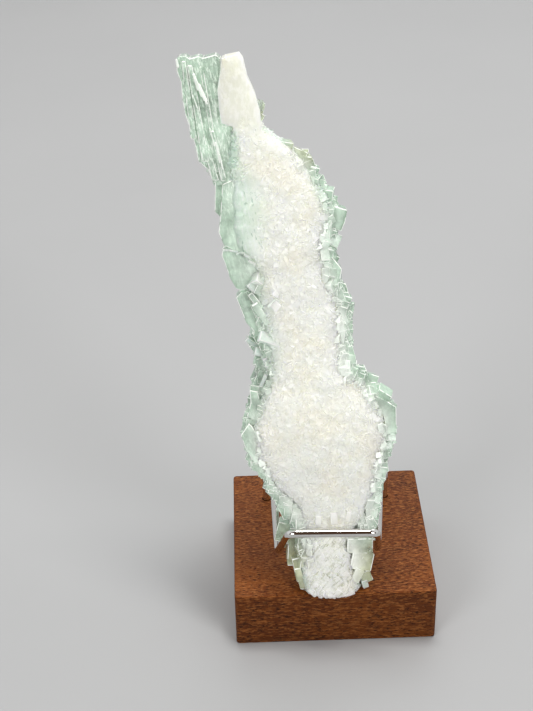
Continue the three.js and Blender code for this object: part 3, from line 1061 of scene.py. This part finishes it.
def rim_crystals(chance):
    """Cubes and plates from both edges of the plate in over the milky core, smaller and fewer inwards."""
    for height in np.arange(RIM_START, RIM_END, RIM_STEP):
        row = at(RIM, height)
        for side, inward in ((LEFT, 1), (RIGHT, -1)):
            edge, reach = row[side], row[side + 2]
            for _ in range(crystals_in_row(side, height)):
                along = chance.uniform(0, 1) ** 1.3
                size = chance.uniform(1.1, 2.8) * (1.4 - 0.7 * along)
                across = edge + inward * (size * 0.55 + along * min(reach, CRYSTAL_REACH))
                face = min(core_front(across, height) + size * 0.22, -2.0 + size * 0.3)
                depth = chance.choice((face, face, chance.uniform(-1, 3.6)))
                shape = (size, size * chance.choice((0.35, 1, 1.3)), size * chance.uniform(0.8, 1.8))
                yield (across, depth, height + chance.uniform(-1, 1)), shape, turned(chance, 28)


def foot_crystals():
    """Slender milky crystals that lie aslant over the front of the foot, and lumps along its lower edge."""
    chance = random.Random(11)
    grown = []
    for _ in range(FOOT_CRYSTALS):
        across, height = chance.uniform(-10, 6), chance.uniform(-1, 15)
        across -= max(across - 3, 0) * height / 15
        width, length = chance.uniform(0.8, 1.6), chance.uniform(3, 7)
        centre = (across, core_front(across, height) + width * 0.2, height)
        grown.append((centre, (width, width, length), (0, chance.uniform(-48, -22), 4 * across)))
    for turn in np.linspace(-75, 75, 11):
        across = -1.6 + 8.6 * math.sin(math.radians(turn))
        depth = -6.0 * math.cos(math.radians(turn))
        size = chance.uniform(2.2, 3.4)
        grown.append(((across, depth, chance.uniform(-1.6, 0.4)), (size, size, size), turned(chance, 40)))
    return grown


def turned(chance, reach):
    return [chance.uniform(-reach, reach) for _ in range(3)]


def back_crystals(chance):
    """Larger cubes that cover the back."""
    for height in np.arange(5, CORE[-1, 0] - 2, BACK_STEPS[0]):
        near = at(RIM, (height - 4, height, height + 5))
        left, right = max(near[LEFT]), min(near[RIGHT])
        for across in np.arange(left + 3, right - 1, BACK_STEPS[1]):
            size = chance.uniform(5, 9.5)
            depth = at(CORE, height)[CORE_BACK] - size * 0.2
            inside = min(max(across + chance.uniform(-1.5, 1.5), left + size * 0.65), right - size * 0.65)
            centre = (inside, depth, height + chance.uniform(-2, 2))
            yield centre, (size, size, size), turned(chance, 28)


def crust_crystals():
    """Every clear crystal: the listed large ones, and the rim and back cubes that keep clear of the wire."""
    chance = random.Random(29)
    wire = wire_on_plate()
    kept = list(LARGE_CRYSTALS)
    for make in (rim_crystals, back_crystals):
        for centre, size, turn in make(chance):
            reach = max(size) * 0.75
            space = np.min(np.linalg.norm(wire - np.array(centre), axis=1)) - WIRE_RADIUS
            if space > reach:
                kept.append((centre, size, turn))
    return kept


def crystal_tree():
    """Puts a crystal on every point, by its own size and turn, and joins them in one closed skin."""
    tree, source = new_tree("grown_crystals", Crystal=("Object", None), Slabs=("Collection", None),
                            Air=("Object", None), Scale=("Float", 1.0), Finish=("Material", None))
    crystal = object_shape(tree, source["Crystal"])
    copies = sized_copies(tree, source["Geometry"], crystal, source["Scale"])
    return closed_skin(tree, source, copies, collection_shapes(tree, source["Slabs"]))


def seed_points(name, boxes):
    """One point for each box, with its size and turn kept on it."""
    points = bpy.data.meshes.new(name)
    points.from_pydata([centre for centre, _, _ in boxes], [], [])
    sizes = np.array([size for _, size, _ in boxes], dtype=np.float32)
    turns = np.radians(np.array([turn for _, _, turn in boxes], dtype=np.float32))
    for attribute, values in (("box_size", sizes), ("box_turn", turns)):
        points.attributes.new(attribute, "FLOAT_VECTOR", "POINT").data.foreach_set("vector", values.ravel())
    return points


def mark_crust(mesh):
    """Where the crust is cloudy, olive, fibrous, streaked with white painted glare or as clear as glass."""
    x, depth, height = corner_places(mesh).T
    olive = (OLIVE_BELOW - height) / 8
    for across, middle, reach, strength in OLIVE_GROUPS:
        away = np.hypot(x - across, height - middle)
        olive = np.maximum(olive, np.clip((reach - away) / 3, 0, strength))
    streaks_x, streaks_foot, streaks_depth = STREAKS
    mark(mesh,
         cloudy=np.clip(1.3 - 1.3 * how_near_rim(x, height), 0, 1) * below(height, CLOUDY_BELOW, 8),
         olive=np.clip(olive, 0, 1),
         fibrous=below(x, FIBROUS_PRISM[0], 4, 0.15) * above(height, FIBROUS_PRISM[1], 6, 0.4),
         # white: painted glare on the streaks that stand proud of the green prism's front.
         white=np.clip((streaks_depth - depth) / 0.1, 0, 0.6) * (x < streaks_x) * (height > streaks_foot),
         glassy=above(x, GLASSY_PRISM[0], 2) * above(height, GLASSY_PRISM[1], 6))


def clear_crust(boxes, finish):
    crystal = crystal_object(CLEAR_CHAMFER)
    blades = [(front, back, leaning(*rest)) for front, back, *rest in BLADES + GLARE_STREAKS]
    slabs = prism_collection("slabs", SLABS + blades, SLAB_EASE)
    air = air_object()
    mesh = run_tree(seed_points("crystals", boxes), crystal_tree(), Crystal=crystal, Slabs=slabs, Air=air,
                    Scale=1.0, Finish=finish)
    clear_away(crystal, air, slabs)
    mark_crust(mesh)
    mesh.transform(PLATE @ IN_MM)
    return mesh


def veil_boxes(boxes):
    """Thin sheets inside the clear crystals, and fibres along the green prism."""
    foot, top = GREEN_PRISM
    chance = random.Random(7)
    for centre, size, turn in boxes:
        thin = chance.choice((0, 0, 1))
        sheet = [length * 0.72 for length in size]
        sheet[thin] = VEIL_THICKNESS
        yield centre, sheet, turn
    for _ in range(PRISM_FIBRES):
        along = chance.uniform(0, 1)
        height = 144 + along * 34
        left = np.interp(height, *GREEN_PRISM_LEFT)
        across = chance.uniform(left + 1.2, GREEN_PRISM_RIGHT)
        length = max(min(chance.uniform(4, 14), 2 * (top - height), 2 * (height - foot)), 1.5)
        lean = -6 - 7 * (1 - along)
        centre = (across, chance.uniform(-4, 4.4), height)
        width = chance.uniform(VEIL_THICKNESS, 0.6)
        yield centre, (width, VEIL_THICKNESS, length), (0, lean + chance.uniform(-2, 2), 0)


def veil_tree():
    """Puts a thin sheet on every point, by its own size and turn."""
    tree, source = new_tree("white_veils", Scale=("Float", 1.0), Finish=("Material", None))
    sheet = add_node(tree, "GeometryNodeMeshCube").outputs["Mesh"]
    return end_tree(tree, source, sized_copies(tree, source["Geometry"], sheet, source["Scale"]))


def white_veils(boxes, finish):
    points = seed_points("veils", list(veil_boxes(boxes)))
    mesh = run_tree(points, veil_tree(), Scale=1.0, Finish=finish)
    mesh.transform(PLATE @ IN_MM)
    return mesh


def halite_specimen():
    milk = milky_finish()
    piece("milky_core", milky_core(milk), milk, "halite_specimen")
    boxes = crust_crystals()
    clear = clear_finish()
    piece("clear_crust", clear_crust(boxes, clear), clear, "halite_specimen")
    veil = veil_finish()
    piece("white_veils", white_veils(boxes, veil), veil, "halite_specimen")


# ------------------------------------------------------------------ room, light and camera

def pale_floor():
    mesh = bpy.data.meshes.new("floor")
    reach = 20.0
    corners = [(-reach, -reach, 0), (reach, -reach, 0), (reach, reach, 0), (-reach, reach, 0)]
    mesh.from_pydata(corners, [], [(0, 1, 2, 3)])
    mesh.materials.append(floor_finish())
    floor = new_object("floor", mesh)


def area_light(name, place, target, size, power, colour=(1, 1, 1)):
    data = bpy.data.lights.new(name, "AREA")
    data.shape = "RECTANGLE"
    data.size, data.size_y = size
    data.energy = power
    data.color = colour
    lamp = new_object(name, data)
    lamp.location = place
    lamp.rotation_euler = (Vector(target) - Vector(place)).to_track_quat("-Z", "Y").to_euler()


class Sky(Finish):
    """The world being built: one Background and the nodes that feed it."""

    def __init__(self, name):
        self.material = bpy.data.worlds.new(name)
        self.material.use_nodes = True
        self.tree = self.material.node_tree
        self.shader = self.tree.nodes["Background"]


def studio_light():
    """A bright room, dim in front, with a long lamp overhead, a fill lamp on each side and one behind."""
    sky = Sky("studio")
    way = sky.node("TexCoord", {}, {}, "Generated")
    front = sky.node("SeparateXYZ", {}, {0: way}, "Y") * -1
    height = sky.node("SeparateXYZ", {}, {0: way}, "Z")
    ahead = sky.band(front + height * 0.3, 0.25, 0.35)
    dim = ahead * sky.band(height, 0.07, 0.13) * (1 - sky.band(height, 0.985, 0.999))
    room = sky.mix(dim, linear(238, 240, 240), linear(86, 64, 50))
    bpy.context.scene.world = sky.surface(Color=room, Strength=0.92)
    middle = (0, 0, 0.1)
    area_light("key", (0.1, 0.12, 1.4), middle, (0.7, 0.16), 9, (1, 0.98, 0.95))
    for name, side in (("left fill", -1), ("right fill", 1)):
        area_light(name, (1.3 * side, -1.5, 1.1), middle, (0.9, 0.9), 21)
    area_light("back", (0.2, 0.8, 0.7), middle, (0.9, 0.5), 2.5)


def camera():
    """Set by its place and its yaw, pitch and roll."""
    bpy.context.scene.view_settings.view_transform = "Standard"
    place = Vector((-25.93, -400.40, 347.29)) * MM
    yaw, pitch, roll = (math.radians(angle) for angle in (0.65, 31.95, -1.52))
    ahead = Vector((math.sin(yaw) * math.cos(pitch), math.cos(yaw) * math.cos(pitch), -math.sin(pitch)))
    level = Vector((math.cos(yaw), -math.sin(yaw), 0))
    upright = level.cross(ahead)
    right = level * math.cos(roll) + upright * math.sin(roll)
    up = upright * math.cos(roll) - level * math.sin(roll)
    data = bpy.data.cameras.new("camera")
    data.sensor_width = 36
    data.lens = 70.9
    data.clip_start = 0.01
    eye = new_object("camera", data)
    eye.matrix_world = Matrix.Translation(place) @ Matrix((right, up, -ahead)).transposed().to_4x4()
    bpy.context.scene.camera = eye


camera()
studio_light()
pale_floor()
wood_block()
wire_easel()
halite_specimen()
